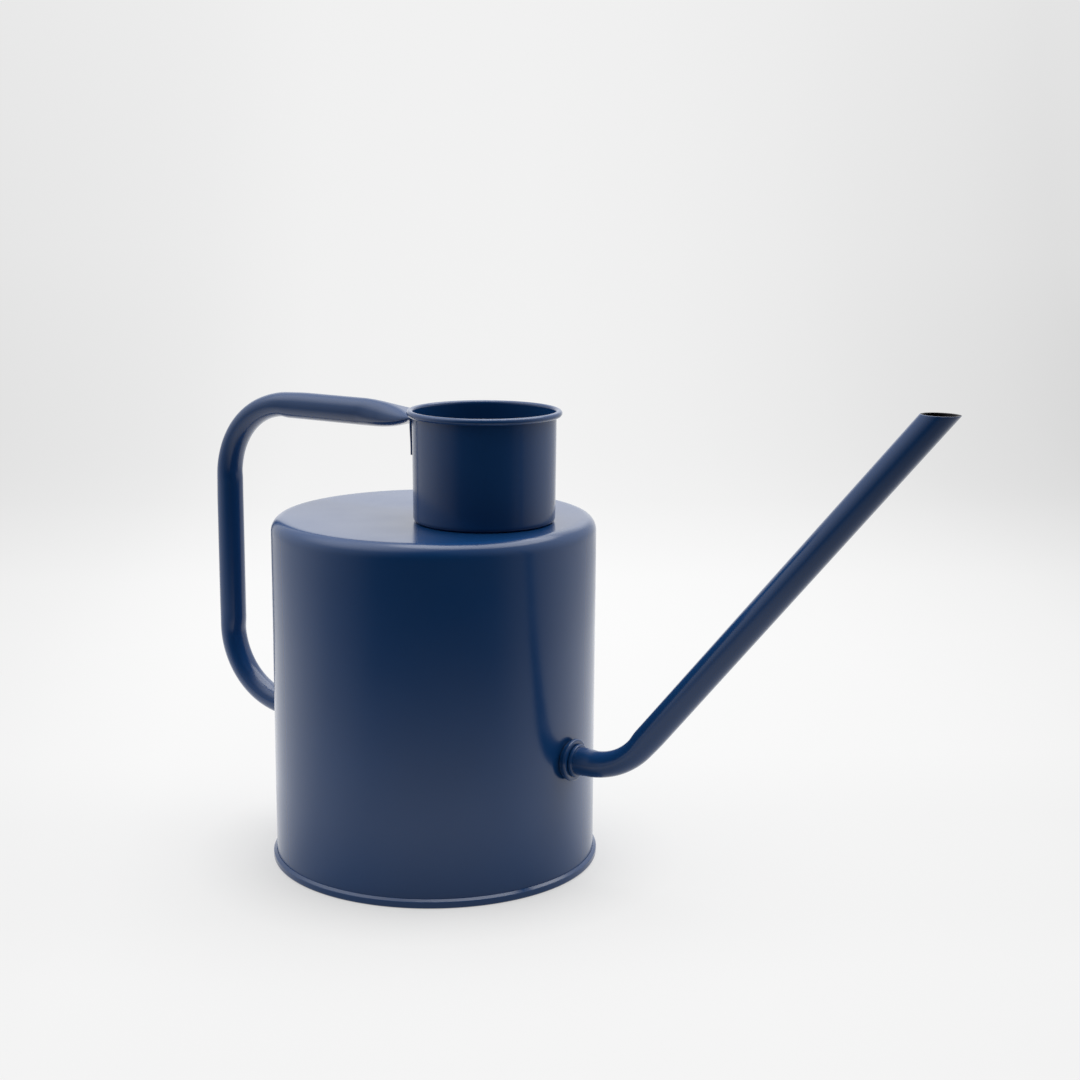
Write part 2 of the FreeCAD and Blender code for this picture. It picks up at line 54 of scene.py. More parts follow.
MM = 0.001
SHEET = 0.4 * MM
TUBE_RADIUS = 6 * MM
TUBE_WALL = 1.0 * MM

tank_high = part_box("tank_shell")[1]
base_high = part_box("base_plate")[1]
neck_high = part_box("filler_neck")[1]
wire_low, wire_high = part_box("rim_wire")
handle_low, handle_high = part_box("handle_tube")
spout_low, spout_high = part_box("spout_tube")
washer_low, washer_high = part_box("spout_washer")

SEAM_SLACK = 0.35 * MM
TANK_RADIUS = base_high.x - 3 * SHEET - SEAM_SLACK
TANK_TOP = tank_high.z
SHOULDER = 6 * MM
FOLD = 0.15 * MM
SEAM_TOP = base_high.z - 1.4 * MM
SEAM_SLOPE = 0.95 * MM
SEAM_ROUND = 0.5 * MM
HOOK_ROUND = 0.4 * MM
BODY_HOOK_TOP = 3.0 * MM
COVER_HOOK_END = 1.1 * MM
BASE_CORNER = 1.0 * MM

WIRE_RADIUS = (wire_high.z - wire_low.z) / 2
NECK_X = (wire_low.x + wire_high.x) / 2
NECK_MOUTH = wire_high.x - NECK_X - 2 * WIRE_RADIUS
NECK_FOOT = NECK_MOUTH - 0.3 * MM
NECK_HOLE = 24 * MM
NECK_CORNER = 2 * MM
WIRE_Z = neck_high.z - SHEET - WIRE_RADIUS

HANDLE_BACK = handle_low.x + TUBE_RADIUS
HANDLE_TOP = handle_high.z - TUBE_RADIUS
HANDLE_FOOT = handle_low.z + TUBE_RADIUS
UPPER_BEND = 35 * MM
LOWER_BEND = 33.4 * MM
PRESS_START = -38 * MM
PRESS_END = -7.5 * MM
PRESS_RISE = 0.3 * MM
PRESS_DROP = 1.9 * MM
FLAT_HALF_WIDTH = handle_high.y
FLAT_HALF_DEPTH = TUBE_WALL
TAB_MIDDLE = NECK_X - NECK_MOUTH - 0.05 * MM - FLAT_HALF_DEPTH
TAB_BEND = 0.6 * MM + FLAT_HALF_DEPTH
TAB_END = neck_high.z - 21 * MM
TAB_LEAN = 0.5 * MM

SPOUT_ROOT = (washer_low.z + washer_high.z) / 2
SPOUT_TIP = spout_high.z
SPOUT_START = spout_low.x
SPOUT_BEND_START = 81.1 * MM
SPOUT_BEND = 30 * MM
SPOUT_RISE = radians(50.1)
BEAD_RADIUS = 7.0 * MM
BEAD_WIDTH = 1.9 * MM
LIP_RADIUS = 7.6 * MM
LIP_WIDTH = 0.8 * MM
WASHER_RADIUS = washer_high.y
WASHER_FACE = washer_high.x
WASHER_WIDTH = 2.0 * MM
WASHER_FOOT = 8.0 * MM
SEAL_GAP = 0.4 * MM

# how a tube gives way in a bend: the length over which it widens, and by how much; then the
# depth that it loses on the outside and on the inside, each with the length over which that sets
# in; and how much later the spout's inside recovers
BULGE_LEAD = 8 * MM
HANDLE_BULGE = 0.35 * MM
SPOUT_BULGE = 0.3 * MM
UPPER_SQUEEZE = ((1.0 * MM, 13 * MM), (0.45 * MM, 2.8 * MM))
LOWER_SQUEEZE = ((0.5 * MM, 12 * MM), (0.8 * MM, 4 * MM))
SPOUT_SQUEEZE = ((0.75 * MM, 11 * MM), (0.45 * MM, 3 * MM))
SPOUT_INSIDE_LATE = 2 * MM

# how fast the handle's end is pressed on its two sides, and how square its edges get
OUTER_PRESS = 1.7
INNER_PRESS = 3.2
FLAT_SQUARENESS = 0.93

# points round each shape, the longest step along a profile, and the angle that shades sharp
WALL_SEGMENTS = 384
NECK_SEGMENTS = 256
TUBE_SEGMENTS = 96
DRILL_SEGMENTS = 62
RIM_SEGMENTS = 128
STAGE_SEGMENTS = 128
PROFILE_STEP = 2.5 * MM
SHARP = radians(38)


# ---- outlines and skins ----


def ramp(value, low, high):
    """Rise smoothly from 0 at low to 1 at high."""
    share = min(1.0, max(0.0, (value - low) / (high - low)))
    return share * share * (3 - 2 * share)


def spread(low, high, count):
    """Give count evenly spaced values from low to high, both included."""
    return [low + (high - low) * step / (count - 1) for step in range(count)]


def rounded_corner(before, here, after, radius):
    """Sample the arc that rounds a corner, with one support point on each side of it."""
    back = (before - here).normalized()
    ahead = (after - here).normalized()
    half = back.angle(ahead) / 2
    reach = radius / tan(half)
    centre = here + (back + ahead).normalized() * (radius / sin(half))
    first = here + back * reach - centre
    last = here + ahead * reach - centre
    turn = first.angle_signed(last)
    steps = max(5, math.ceil(abs(turn) / radians(9)))
    points = []
    for step in range(steps + 1):
        angle = -turn * step / steps
        points.append(centre + Matrix.Rotation(angle, 2) @ first)
    support = 0.25 * radius
    return [points[0] + back * support] + points + [points[-1] + ahead * support]


def outline(corners):
    """Sample an open outline of corners (across, up) or, where it is rounded, (across, up, radius)."""
    spots = [Vector(corner[:2]) for corner in corners]
    points = []
    for index, corner in enumerate(corners):
        if len(corner) == 2:
            points.append(spots[index])
            continue
        points += rounded_corner(spots[index - 1], spots[index], spots[index + 1], corner[2])
    return points


def subdivided(points, longest):
    """Add points on an outline so that no side is longer than a stated length."""
    result = [points[0]]
    for start, stop in zip(points, points[1:]):
        count = max(1, math.ceil((stop - start).length / longest))
        result += [start.lerp(stop, step / count) for step in range(1, count + 1)]
    return result


def arc_points(centre, radius, start, stop, steps):
    """Sample an arc between two angles in degrees."""
    middle = Vector(centre)
    return [
        middle + radius * Vector((cos(radians(angle)), sin(radians(angle))))
        for angle in spread(start, stop, steps + 1)
    ]


def circle(centre_x, radius, height, segments):
    """Sample a level circle, or give the one point of a pole."""
    if radius == 0:
        return [Vector((centre_x, 0, height))]
    return [
        Vector((centre_x + radius * cos(turn), radius * sin(turn), height))
        for turn in (2 * pi * step / segments for step in range(segments))
    ]


def skin(name, rings, closed=False):
    """Join rings of points in order; a ring of one point is a pole, and closed joins the ends."""
    points = []
    starts = []
    for ring in rings:
        starts.append(len(points))
        points += ring
    faces = []
    pairs = list(zip(range(len(rings)), range(1, len(rings))))
    if closed:
        pairs.append((len(rings) - 1, 0))
    for one, two in pairs:
        size = max(len(rings[one]), len(rings[two]))
        for step in range(size):
            after = (step + 1) % size
            near = [starts[one] + step, starts[one] + after] if len(rings[one]) > 1 else [starts[one]]
            far = [starts[two] + after, starts[two] + step] if len(rings[two]) > 1 else [starts[two]]
            faces.append(near + far)
    mesh = bpy.data.meshes.new(name)
    mesh.from_pydata([tuple(point) for point in points], [], faces)
    return mesh


def cap(mesh, count):
    """Close both ends of a tube's skin whose rings have count points."""
    work = bmesh.new()
    work.from_mesh(mesh)
    work.verts.ensure_lookup_table()
    total = len(work.verts)
    work.faces.new([work.verts[index] for index in range(count)])
    work.faces.new([work.verts[index] for index in range(total - count, total)])
    work.to_mesh(mesh)
    work.free()


def tidy(mesh):
    """Turn every face outwards and shade smoothly except across sharp edges."""
    work = bmesh.new()
    work.from_mesh(mesh)
    bmesh.ops.recalc_face_normals(work, faces=work.faces)
    work.to_mesh(mesh)
    work.free()
    mesh.shade_smooth()
    mesh.set_sharp_from_angle(angle=SHARP)


def add_piece(mesh, material, slot, *nodes):
    """Link a finished mesh as a piece that rides on the body and stands for CAD nodes."""
    tidy(mesh)
    mesh.materials.append(material)
    piece = bpy.data.objects.new(mesh.name, mesh)
    bpy.context.scene.collection.objects.link(piece)
    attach(piece, "root")
    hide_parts(*nodes)
    return piece


def lathe(name, points, segments):
    """Turn an open outline of (radius, height) points about the frame's upright axis."""
    return skin(name, [circle(0, point.x, point.y, segments) for point in points])


# ---- a tube's path and its sections ----


class Path:
    """Straight runs and tangent arcs in the XZ plane, found by length along them."""

    def __init__(self, start, heading):
        self.pieces = []
        self.length = 0.0
        self.end = Vector(start)
        self.heading = heading

    def run(self, length):
        """Add a straight run."""
        self.pieces.append((self.length, self.end.copy(), self.heading, None, 0.0))
        self.end += length * Vector((cos(self.heading), sin(self.heading)))
        self.length += length

    def bend(self, radius, turn):
        """Add an arc; a positive turn is to the left, from +X towards +Z."""
        side = 1 if turn > 0 else -1
        self.pieces.append((self.length, self.end.copy(), self.heading, radius, side))
        left = Vector((-sin(self.heading), cos(self.heading)))
        centre = self.end + left * radius * side
        self.end = centre + Matrix.Rotation(turn, 2) @ (self.end - centre)
        self.heading += turn
        self.length += radius * abs(turn)

    def place(self, along):
        """Give the point and the heading at a length along the path."""
        begin, start, heading, radius, side = [
            piece for piece in self.pieces if piece[0] <= along + 1e-9 or piece is self.pieces[0]
        ][-1]
        past = along - begin
        if radius is None:
            return start + past * Vector((cos(heading), sin(heading))), heading
        left = Vector((-sin(heading), cos(heading)))
        centre = start + left * radius * side
        turn = side * past / radius
        return centre + Matrix.Rotation(turn, 2) @ (start - centre), heading + turn


def section(path, along, half_width, outer, inner, squareness=(0.0, 0.0), outer_side=1, shift=0.0):
    """Sample a tube's section: outer and inner are its half depths on the two sides of the path.

    squareness, one number for each side, blends the oval towards a flat face with round edges.
    """
    centre, heading = path.place(along)
    normal = outer_side * Vector((-sin(heading), cos(heading)))
    points = []
    for step in range(TUBE_SEGMENTS):
        turn = 2 * pi * (step + 0.5) / TUBE_SEGMENTS
        depth, square = (outer, squareness[0]) if sin(turn) > 0 else (inner, squareness[1])
        oval = half_width * cos(turn)
        flat_end = math.copysign(half_width - depth, cos(turn)) + depth * cos(turn)
        across = oval + square * (flat_end - oval)
        spot = centre + normal * (shift + depth * sin(turn))
        points.append(Vector((spot.x, across, spot.y)))
    return points


# ---- materials ----


def new_material(name):
    """Start a node material; give its nodes, its links and its surface shader."""
    material = bpy.data.materials.new(name)
    material.use_nodes = True
    nodes = material.node_tree.nodes
    return material, nodes, material.node_tree.links, nodes["Principled BSDF"]


def add_noise(nodes, links, scale, detail, seat):
    """Add a noise texture fixed to the object, with a scale per metre."""
    texture = nodes.new("ShaderNodeTexNoise")
    texture.inputs["Scale"].default_value = scale
    texture.inputs["Detail"].default_value = detail
    links.new(seat.outputs["Object"], texture.inputs["Vector"])
    return texture


def add_range(nodes, links, source, low, high, start=0.3, stop=0.7):
    """Map a noise value to a range of numbers."""
    mapping = nodes.new("ShaderNodeMapRange")
    mapping.inputs["From Min"].default_value = start
    mapping.inputs["From Max"].default_value = stop
    mapping.inputs["To Min"].default_value = low
    mapping.inputs["To Max"].default_value = high
    links.new(source, mapping.inputs["Value"])
    return mapping.outputs["Result"]


def add_blend(nodes, links, share, first, second):
    """Blend two colours by a share that another node gives."""
    blend = nodes.new("ShaderNodeMix")
    blend.data_type = "RGBA"
    links.new(share, blend.inputs[0])
    blend.inputs[6].default_value = (*first, 1)
    blend.inputs[7].default_value = (*second, 1)
    return blend.outputs[2]


def add_bump(nodes, links, shader, height, depth, below=None):
    """Raise the surface by a height, on top of another bump if there is one."""
    bump = nodes.new("ShaderNodeBump")
    bump.inputs["Distance"].default_value = depth
    links.new(height, bump.inputs["Height"])
    if below:
        links.new(below.outputs["Normal"], bump.inputs["Normal"])
    links.new(bump.outputs["Normal"], shader.inputs["Normal"])
    return bump


def powder_coat(name, rough_low, rough_high, peel_scale, peel_depth):
    """Satin navy powder coat: slightly uneven colour and gloss over a fine orange peel."""
    material, nodes, links, shader = new_material(name)
    seat = nodes.new("ShaderNodeTexCoord")
    cloud = add_noise(nodes, links, 14, 3, seat)
    share = add_range(nodes, links, cloud.outputs["Fac"], 0, 1)
    colour = add_blend(nodes, links, share, NAVY_DEEP, NAVY_LIGHT)
    links.new(colour, shader.inputs["Base Color"])
    patch = add_noise(nodes, links, 45, 4, seat)
    roughness = add_range(nodes, links, patch.outputs["Fac"], rough_low, rough_high)
    links.new(roughness, shader.inputs["Roughness"])
    peel = add_noise(nodes, links, peel_scale, 2, seat)
    add_bump(nodes, links, shader, peel.outputs["Fac"], peel_depth)
    shader.inputs["IOR"].default_value = 1.5
    return material


def plain_steel(name):
    """Bare drawn steel with fine streaks."""
    material, nodes, links, shader = new_material(name)
    seat = nodes.new("ShaderNodeTexCoord")
    streak = add_noise(nodes, links, 900, 3, seat)
    share = add_range(nodes, links, streak.outputs["Fac"], 0, 1)
    colour = add_blend(nodes, links, share, (0.38, 0.37, 0.36), (0.5, 0.49, 0.48))
    links.new(colour, shader.inputs["Base Color"])
    links.new(add_range(nodes, links, streak.outputs["Fac"], 0.3, 0.45), shader.inputs["Roughness"])
    shader.inputs["Metallic"].default_value = 1.0
    return material


def sealing_compound(name):
    """Grey rubbery sealing compound."""
    material, nodes, links, shader = new_material(name)
    seat = nodes.new("ShaderNodeTexCoord")
    grain = add_noise(nodes, links, 700, 4, seat)
    share = add_range(nodes, links, grain.outputs["Fac"], 0, 1)
    colour = add_blend(nodes, links, share, (0.1, 0.1, 0.1), (0.14, 0.14, 0.14))
    links.new(colour, shader.inputs["Base Color"])
    add_bump(nodes, links, shader, grain.outputs["Fac"], 0.05 * MM)
    shader.inputs["Roughness"].default_value = 0.7
    return material


def dark_bore_and_painted_shade(name):
    """Dull near-black for the spout's end face and inside, and for its rubber seal as painted shade."""
    material, nodes, links, shader = new_material(name)
    seat = nodes.new("ShaderNodeTexCoord")
    grain = add_noise(nodes, links, 400, 4, seat)
    share = add_range(nodes, links, grain.outputs["Fac"], 0, 1)
    colour = add_blend(nodes, links, share, (0.004, 0.004, 0.005), (0.012, 0.012, 0.014))
    links.new(colour, shader.inputs["Base Color"])
    shader.inputs["Roughness"].default_value = 0.65
    shader.inputs["IOR"].default_value = 1.3
    return material


NAVY_DEEP = (0.0055, 0.042, 0.142)
NAVY_LIGHT = (0.0065, 0.047, 0.158)

# ---- the tank ----


def dent(point):
    """Slight unevenness of the drawn sheet, square to its surface."""
    wide = noise.noise(Vector(point) / (70 * MM))
    fine = noise.noise(Vector(point) / (22 * MM) + Vector((7, 3, 5)))
    return (0.10 * wide + 0.02 * fine) * MM


def uneven_tank(mesh):
    """Move the tank's wall in and out and its top a little down, both skins alike."""
    for vertex in mesh.vertices:
        spot = vertex.co
        radius = hypot(spot.x, spot.y)
        wall = ramp(spot.z, 6 * MM, 25 * MM)
        wall *= 1 - ramp(spot.z, TANK_TOP - 20 * MM, TANK_TOP - SHOULDER)
        if radius > TANK_RADIUS - 2 * SHEET:
            seat = Vector((spot.x, spot.y, 0)) * (TANK_RADIUS / radius)
            push = wall * dent((seat.x, seat.y, spot.z))
            spot.x += push * spot.x / radius
            spot.y += push * spot.y / radius
        if spot.z > TANK_TOP - 2 * SHEET:
            reach = hypot(spot.x - NECK_X, spot.y)
            top = ramp(reach, NECK_FOOT, NECK_FOOT + 8 * MM)
            top *= 1 - ramp(radius, 50 * MM, TANK_RADIUS - SHOULDER)
            spot.z -= top * abs(dent((spot.x, spot.y, TANK_TOP)))


def make_tank():
    """Drawn cup with a turned-up hook at its foot and holes for the neck and the spout."""
    flat_edge = TANK_RADIUS - 1.4 * SHOULDER

    def top_rings(height, outwards):
        shares = spread(0, 0.9, 14)
        if not outwards:
            shares.reverse()
        return [
            circle(NECK_X * (1 - share), NECK_HOLE + (flat_edge - NECK_HOLE) * share, height, WALL_SEGMENTS)
            for share in shares
        ]

    hook = outline((
        (flat_edge, TANK_TOP),
        (TANK_RADIUS, TANK_TOP, SHOULDER),
        (TANK_RADIUS, 2 * SHEET, FOLD),
        (TANK_RADIUS + SHEET, 2 * SHEET, FOLD),
        (TANK_RADIUS + SHEET, BODY_HOOK_TOP),
        (TANK_RADIUS + 2 * SHEET, BODY_HOOK_TOP),
        (TANK_RADIUS + 2 * SHEET, SHEET, HOOK_ROUND),
        (TANK_RADIUS - SHEET, SHEET, HOOK_ROUND),
        (TANK_RADIUS - SHEET, TANK_TOP - SHEET, SHOULDER - SHEET),
        (flat_edge, TANK_TOP - SHEET),
    ))
    rings = top_rings(TANK_TOP, True)
    rings += [circle(0, point.x, point.y, WALL_SEGMENTS) for point in subdivided(hook, PROFILE_STEP)]
    rings += top_rings(TANK_TOP - SHEET, False)
    mesh = skin("tank_body", rings, closed=True)
    uneven_tank(mesh)
    pierce(add_piece(mesh, COAT, "powder_coat", "tank_shell"))


def pierce(tank):
    """Cut the spout's hole through the front of the tank wall."""
    round_hole = circle(0, TUBE_RADIUS, 0, DRILL_SEGMENTS)
    rings = [
        [Vector((depth, point.x, point.y + SPOUT_ROOT)) for point in round_hole]
        for depth in (TANK_RADIUS - 8 * MM, TANK_RADIUS + 4 * MM)
    ]
    mesh = skin("spout_drill", rings)
    cap(mesh, DRILL_SEGMENTS)
    tidy(mesh)
    drill = bpy.data.objects.new("spout_drill", mesh)
    bpy.context.scene.collection.objects.link(drill)
    cut = tank.modifiers.new("spout_hole", "BOOLEAN")
    cut.operation = "DIFFERENCE"
    cut.object = drill
    bpy.context.view_layer.update()
    evaluated = tank.evaluated_get(bpy.context.evaluated_depsgraph_get())
    pierced = bpy.data.meshes.new_from_object(evaluated)
    tank.modifiers.clear()
    old = tank.data
    tank.data = pierced
    pierced.name = old.name
    bpy.data.meshes.remove(old)
    bpy.data.objects.remove(drill)


def make_base():
    """Recessed base whose edge wraps under and over the tank's hook."""
    recess = base_high.z - SHEET
    outside = TANK_RADIUS + 3 * SHEET + SEAM_SLACK
    points = outline((
        (0, recess),
        (TANK_RADIUS - 2 * SHEET, recess, BASE_CORNER - SHEET),
        (TANK_RADIUS - 2 * SHEET, 0, FOLD + SHEET),
        (outside, 0, FOLD + 2 * SHEET + SEAM_SLACK),
        (outside, SEAM_TOP - SEAM_SLOPE, SEAM_ROUND),
        (TANK_RADIUS + FOLD, SEAM_TOP, FOLD),
        (TANK_RADIUS, SEAM_TOP - FOLD),
        (TANK_RADIUS, COVER_HOOK_END),
        (TANK_RADIUS + SHEET, COVER_HOOK_END),
        (TANK_RADIUS + SHEET, SEAM_TOP - 2 * SHEET),
        (outside - SHEET, SEAM_TOP - SEAM_SLOPE - SHEET, FOLD),
        (outside - SHEET, SHEET, FOLD + SHEET + SEAM_SLACK),
        (TANK_RADIUS - SHEET, SHEET, FOLD),
        (TANK_RADIUS - SHEET, recess + SHEET, BASE_CORNER),
        (0, recess + SHEET),
    ))
    mesh = lathe("base_pan", subdivided(points, 6 * MM), WALL_SEGMENTS)
    add_piece(mesh, COAT, "powder_coat", "base_plate")


def make_neck():
    """Drawn ring with an inward foot and its mouth rolled out over the wire."""
    curl_x = NECK_MOUTH + WIRE_RADIUS
    wall_top = WIRE_Z - 0.5 * MM
    wall = outline((
        (NECK_HOLE, TANK_TOP),
        (NECK_FOOT, TANK_TOP, NECK_CORNER),
        (NECK_MOUTH, wall_top),
    ))
    back = outline((
        (NECK_MOUTH - SHEET, wall_top),
        (NECK_FOOT - SHEET, TANK_TOP + SHEET, NECK_CORNER - SHEET),
        (NECK_HOLE, TANK_TOP + SHEET),
    ))
    under = arc_points((curl_x, WIRE_Z), WIRE_RADIUS, 180, -125, 40)
    over = arc_points((curl_x, WIRE_Z), WIRE_RADIUS + SHEET, -125, 180, 56)
    points = subdivided(wall, PROFILE_STEP) + under + over + subdivided(back, PROFILE_STEP)
    rings = [circle(NECK_X, point.x, point.y, NECK_SEGMENTS) for point in points]
    mesh = skin("neck", rings, closed=True)
    add_piece(mesh, COAT, "powder_coat", "filler_neck")


# ---- the handle ----


def handle_path():
    """The handle's middle line, from the tank wall round both bends to the end of the tab."""
    path = Path((-TANK_RADIUS, HANDLE_FOOT), pi)
    path.run(-HANDLE_BACK - LOWER_BEND - TANK_RADIUS)
    path.bend(LOWER_BEND, -pi / 2)
    path.run(HANDLE_TOP - UPPER_BEND - HANDLE_FOOT - LOWER_BEND)
    path.bend(UPPER_BEND, -pi / 2)
    tab_bend_start = TAB_MIDDLE - TAB_BEND
    path.run(tab_bend_start - HANDLE_BACK - UPPER_BEND)
    path.bend(TAB_BEND - PRESS_RISE, -pi / 2)
    path.run(HANDLE_TOP + PRESS_RISE - TAB_BEND - TAB_END)
    return path


def bend_share(path, along, radius, lead, late=0.0):
    """How far a point lies in a bend of the stated radius, from 0 to 1; late moves the bend's end on."""
    share = 0.0
    for piece, following in zip(path.pieces, path.pieces[1:]):
        if piece[3] == radius:
            begin, end = piece[0], following[0] + late
            inside = ramp(along, begin - lead, begin + lead) * (1 - ramp(along, end - lead, end + lead))
            share = max(share, inside)
    return share


def squeeze(path, along, radius, bulge, losses, late=0.0):
    """How much wider a tube gets in a bend, and the depths that it loses outside and inside it."""
    (outside, outside_lead), (inside, inside_lead) = losses
    return (
        bulge * bend_share(path, along, radius, BULGE_LEAD),
        outside * bend_share(path, along, radius, outside_lead),
        inside * bend_share(path, along, radius, inside_lead, late),
    )


def make_handle():
    """Round tube, squeezed a little in its bends, pressed flat and tucked under the rim."""
    path = handle_path()
    begins = [piece[0] for piece in path.pieces]
    lower, upright, upper, top, tab_bend, tab = begins[1:]
    press_from = top + PRESS_START - (HANDLE_BACK + UPPER_BEND)
    stops = [0.0]
    stops += spread(lower - 12 * MM, upright + 14 * MM, 70)
    stops += spread(upright + 18 * MM, upper - 18 * MM, 8)
    stops += spread(upper - 14 * MM, top + 14 * MM, 76)
    stops += spread(top + 16 * MM, press_from - 1 * MM, 4)
    stops += spread(press_from, tab_bend - 0.3 * MM, 48)
    stops += spread(tab_bend, tab, 14)
    stops += spread(tab + 0.3 * MM, path.length - 0.25 * MM, 10)
    stops += [path.length - 0.08 * MM, path.length]
    rings = []
    for along in stops:
        pressed = 0.0
        if along > press_from:
            pressed = min(1.0, (path.place(along)[0].x - PRESS_START) / (PRESS_END - PRESS_START))
        if along > tab_bend:
            pressed = 1.0
        width = TUBE_RADIUS + pressed ** OUTER_PRESS * (FLAT_HALF_WIDTH - TUBE_RADIUS)
        outer = TUBE_RADIUS + pressed ** OUTER_PRESS * (FLAT_HALF_DEPTH - TUBE_RADIUS)
        inner = TUBE_RADIUS + pressed ** INNER_PRESS * (FLAT_HALF_DEPTH - TUBE_RADIUS)
        for radius, losses in ((UPPER_BEND, UPPER_SQUEEZE), (LOWER_BEND, LOWER_SQUEEZE)):
            wider, outside, inside = squeeze(path, along, radius, HANDLE_BULGE, losses)
            width += wider
            outer -= outside
            inner -= inside
        drop = PRESS_DROP * 4 * pressed * (1 - pressed)
        outer += drop
        inner -= drop
        lean = 0.0
        if along > tab_bend:
            lean = TAB_LEAN * ramp(along, tab_bend, tab) * (1 - ramp(along, tab, tab + 12 * MM))
        ease = 1.0
        if along > path.length - 0.2 * MM:
            ease = 0.93 if along < path.length else 0.8
        squareness = (FLAT_SQUARENESS * pressed ** 2, FLAT_SQUARENESS * pressed ** 3)
        shift = PRESS_RISE * pressed ** OUTER_PRESS - drop - lean
        half_width = width - (1 - ease) * outer
        ring = section(path, along, half_width, outer * ease, inner * ease, squareness, shift=shift)
        if along == 0:
            ring = [Vector((-sqrt(TANK_RADIUS ** 2 - p.y ** 2) + 0.05 * MM, p.y, p.z)) for p in ring]
        rings.append(ring)
    mesh = skin("handle", rings)
    cap(mesh, TUBE_SEGMENTS)
    add_piece(mesh, TUBE_COAT, "powder_coat_tube", "handle_tube")


def make_foot_weld():
    """Fillet weld round the handle's foot, laid as overlapping ripples."""
    leg = 2.3 * MM
    ripples = 22
    steps = 12 * ripples
    inner_radius = 0.97 * TUBE_RADIUS
    rings = []
    for step in range(steps):
        turn = 2 * pi * step / steps
        phase = (ripples * step / steps) % 1.0
        swell = 1 + 0.05 * sin(pi * phase) + 0.06 * noise.noise(Vector((3 * cos(turn), 3 * sin(turn), 2)))
        ring = []
        for share in spread(0, 1, 9):
            bulge = 0.22 * sin(pi * share) * leg * swell
            radial = leg * swell * share + bulge * 0.7
            outwards = leg * swell * (1 - share) + bulge * 0.7
            radius = TUBE_RADIUS - 0.03 * MM + radial
            y = radius * cos(turn)
            wall = -sqrt(TANK_RADIUS ** 2 - y * y)
            ring.append(Vector((wall + 0.03 * MM - outwards, y, HANDLE_FOOT + radius * sin(turn))))
        y = inner_radius * cos(turn)
        wall = -sqrt(TANK_RADIUS ** 2 - y * y)
        ring.append(Vector((wall + 0.1 * MM, y, HANDLE_FOOT + inner_radius * sin(turn))))
        rings.append(ring)
    mesh = skin("handle_weld_bead", rings, closed=True)
    add_piece(mesh, WELD_COAT, "coated_weld", "handle_foot_weld")


# ---- the spout ----


def make_spout():
    """Long tube with a bead in front of the wall, a lip behind it and a level pouring end."""
    path = Path((SPOUT_START, SPOUT_ROOT), 0.0)
    path.run(SPOUT_BEND_START - SPOUT_START)
    path.bend(SPOUT_BEND, SPOUT_RISE)
    rise = SPOUT_TIP - SPOUT_ROOT - SPOUT_BEND * (1 - cos(SPOUT_RISE))
    path.run(rise / sin(SPOUT_RISE))
    bend_start, straight = path.pieces[1][0], path.pieces[2][0]
    tip_slope = 1 / tan(SPOUT_RISE)
    shear_from = path.length - 22 * MM

    bead = WASHER_FACE - SPOUT_START
    root = outline((
        (0, TUBE_RADIUS),
        (0, LIP_RADIUS, 0.5 * MM),
        (LIP_WIDTH, LIP_RADIUS),
        (LIP_WIDTH, TUBE_RADIUS),
        (bead, TUBE_RADIUS),
        (bead, BEAD_RADIUS, 0.6 * MM),
        (bead + BEAD_WIDTH, BEAD_RADIUS, 0.6 * MM),
        (bead + BEAD_WIDTH, TUBE_RADIUS, 0.1 * MM),
        (bead + 3 * MM, TUBE_RADIUS),
    ))
    rings = []

    def add_ring(along, radius):
        wider, outside, inside = squeeze(
            path, along, SPOUT_BEND, SPOUT_BULGE, SPOUT_SQUEEZE, SPOUT_INSIDE_LATE)
        ring = section(path, along, radius + wider, radius - outside, radius - inside, outer_side=-1)
        if along > shear_from:
            share = (along - shear_from) / (path.length - shear_from)
            heading = Vector((cos(SPOUT_RISE), 0, sin(SPOUT_RISE)))
            for step, point in enumerate(ring):
                turn = 2 * pi * (step + 0.5) / TUBE_SEGMENTS
                point += heading * (share * radius * sin(turn) * tip_slope)
        rings.append(ring)

    for point in root:
        add_ring(point.x, point.y)
    body = spread(bend_start - 4 * MM, straight + 14 * MM, 60)
    body += spread(straight + 20 * MM, shear_from, 22)
    body += spread(shear_from + 2 * MM, path.length - 0.45 * MM, 14)
    for along in body:
        add_ring(along, TUBE_RADIUS)
    edge = 0.2 * MM
    add_ring(path.length - edge, TUBE_RADIUS)
    add_ring(path.length - 0.3 * edge, TUBE_RADIUS - 0.3 * edge)
    bore_from = len(rings)
    add_ring(path.length, TUBE_RADIUS - edge)
    add_ring(path.length, TUBE_RADIUS - TUBE_WALL + edge)
    add_ring(path.length - 0.3 * edge, TUBE_RADIUS - TUBE_WALL + 0.3 * edge)
    add_ring(path.length - edge, TUBE_RADIUS - TUBE_WALL)
    for along in reversed(body):
        add_ring(along, TUBE_RADIUS - TUBE_WALL)
    add_ring(0, TUBE_RADIUS - TUBE_WALL)
    mesh = skin("spout", rings, closed=True)
    add_piece(mesh, TUBE_COAT, "powder_coat_tube", "spout_tube")
    mesh.materials.append(BORE_AND_PAINTED_SHADE)
    for face in mesh.polygons:
        face.material_index = int(bore_from <= face.index // TUBE_SEGMENTS < len(rings) - 1)


